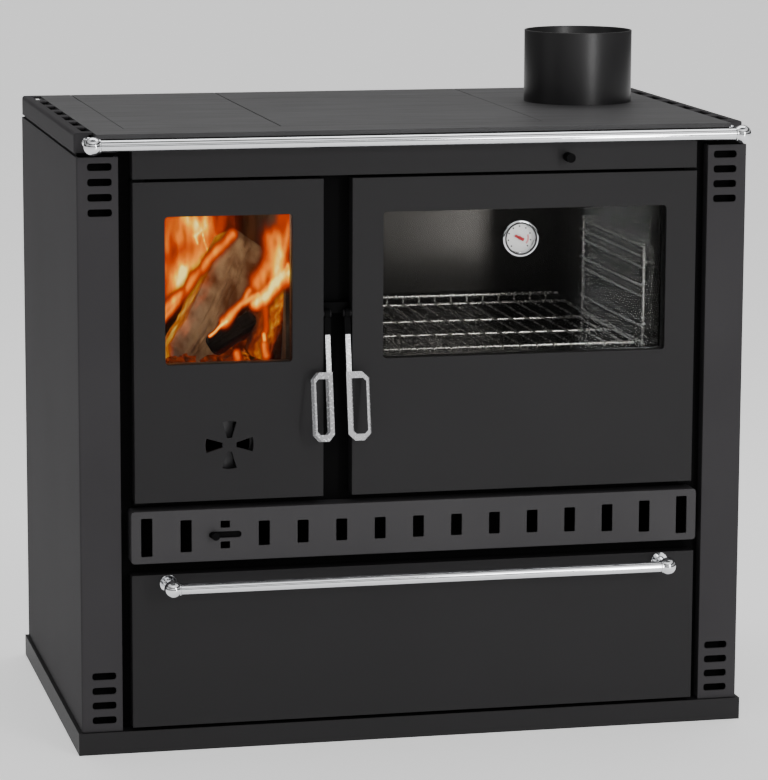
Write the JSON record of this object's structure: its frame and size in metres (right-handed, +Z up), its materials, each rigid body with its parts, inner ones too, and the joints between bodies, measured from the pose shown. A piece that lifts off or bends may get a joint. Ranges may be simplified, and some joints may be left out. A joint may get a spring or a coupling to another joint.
{
  "type": "wood cookstove",
  "caption": "Free-standing wood-burning kitchen cookstove with a glazed fire door, a glazed oven door, lift-off hob plates, a slotted air strip, a wood drawer and a top flue collar.",
  "frame": {"origin": "on the floor, under the middle of the cookstove's bounding box", "axes": "+X to the right seen from the front, +Y to the back, +Z up; the doors face -Y"},
  "size_m": [0.944, 0.6384, 0.954],
  "materials": {
    "enamel": "matt black-grey stove enamel",
    "dark_steel": "dark painted sheet steel",
    "hob_steel": "satin grey-black hob steel",
    "black_paint": "matt black paint",
    "chromed": "polished chrome",
    "wire_steel": "bright wire",
    "brick": "dull fired clay",
    "iron": "dark cast iron",
    "glazing": "clear heat-proof glass",
    "rope": "woven glass rope",
    "dial_white": "white dial"
  },
  "bodies": {
    "cookstove": {"plinth": "enamel", "right_side_casing": "enamel", "left_side_casing": "enamel", "back_panel": "dark_steel", "front_frame": "black_paint", "firebox_deck": "dark_steel", "fascia": "enamel", "right_top_rail": "enamel", "left_top_rail": "enamel", "hob_frame": "hob_steel", "flue_collar": "enamel", "towel_rail": "chromed", "towel_rail_bracket_left": "chromed", "towel_rail_bracket_right": "chromed", "vent_strip": "enamel", "right_drawer_runner": "dark_steel", "left_drawer_runner": "dark_steel", "firebox": "iron", "firebrick_left": "brick", "firebrick_right": "brick", "firebrick_back": "brick", "fire_grate": "iron", "ash_pan": "dark_steel", "oven_liner": "dark_steel", "oven_rack_left": "wire_steel", "oven_rack_right": "wire_steel", "oven_shelf": "wire_steel", "smoke_baffle": "iron", "fire_hinge_top": "dark_steel", "fire_hinge_bottom": "dark_steel", "oven_hinge_top": "dark_steel", "oven_hinge_bottom": "dark_steel", "latch_keeper": "dark_steel"},
    "fire_door": {"fire_door_shell": "enamel", "fire_door_glass": "glazing", "fire_door_inner_frame": "dark_steel", "fire_door_gasket": "rope"},
    "fire_door_handle": {"fire_door_latch": "black_paint", "fire_door_handle": "chromed"},
    "rosette_shutter": {"rosette_shutter": "black_paint"},
    "oven_door": {"oven_door_shell": "enamel", "oven_door_glass": "glazing", "oven_door_inner_frame": "dark_steel", "oven_door_gasket": "rope", "thermometer_case": "chromed", "thermometer_dial": "dial_white"},
    "oven_door_handle": {"oven_door_latch": "black_paint", "oven_door_handle": "chromed"},
    "drawer": {"drawer_front": "enamel", "drawer_box": "dark_steel", "drawer_floor": "dark_steel", "drawer_rail": "chromed", "drawer_rail_bracket_left": "chromed", "drawer_rail_bracket_right": "chromed"},
    "air_slider": {"air_slider": "black_paint"},
    "damper": {"damper_plate": "iron", "damper_rod": "dark_steel", "damper_knob": "black_paint"},
    "hob_plate_left": {"hob_plate_left": "hob_steel"},
    "hob_plate_right": {"hob_plate_right": "hob_steel"}
  },
  "joints": [
    {"name": "fire_door_hinge", "type": "hinge", "parent": "cookstove", "child": "fire_door", "pos_m": [-0.385, -0.25275, 0.565], "axis": [0, 0, -1], "range_deg": [0, 110]},
    {"name": "oven_door_hinge", "type": "hinge", "parent": "cookstove", "child": "oven_door", "pos_m": [0.385, -0.25275, 0.565], "axis": [0, 0, 1], "range_deg": [0, 110]},
    {"name": "fire_handle_pivot", "type": "hinge", "parent": "fire_door", "child": "fire_door_handle", "pos_m": [-0.127, -0.25875, 0.6], "axis": [-1, 0, 0], "range_deg": [0, 25]},
    {"name": "oven_handle_pivot", "type": "hinge", "parent": "oven_door", "child": "oven_door_handle", "pos_m": [-0.099, -0.25875, 0.6], "axis": [-1, 0, 0], "range_deg": [0, 25]},
    {"name": "rosette_turn", "type": "hinge", "parent": "fire_door", "child": "rosette_shutter", "pos_m": [-0.263, -0.25875, 0.425], "axis": [0, 1, 0], "range_deg": [0, 45]},
    {"name": "drawer_slide", "type": "slide", "parent": "cookstove", "child": "drawer", "axis": [0, -1, 0], "range_m": [0, 0.4]},
    {"name": "air_slide", "type": "slide", "parent": "cookstove", "child": "air_slider", "axis": [1, 0, 0], "range_m": [0, 0.025]},
    {"name": "damper_pull", "type": "slide", "parent": "cookstove", "child": "damper", "axis": [0, -1, 0], "range_m": [0, 0.07]},
    {"name": "left_plate_lift", "type": "slide", "parent": "cookstove", "child": "hob_plate_left", "axis": [0, 0, 1], "range_m": [0, 0.06]},
    {"name": "right_plate_lift", "type": "slide", "parent": "cookstove", "child": "hob_plate_right", "axis": [0, 0, 1], "range_m": [0, 0.06]}
  ]
}
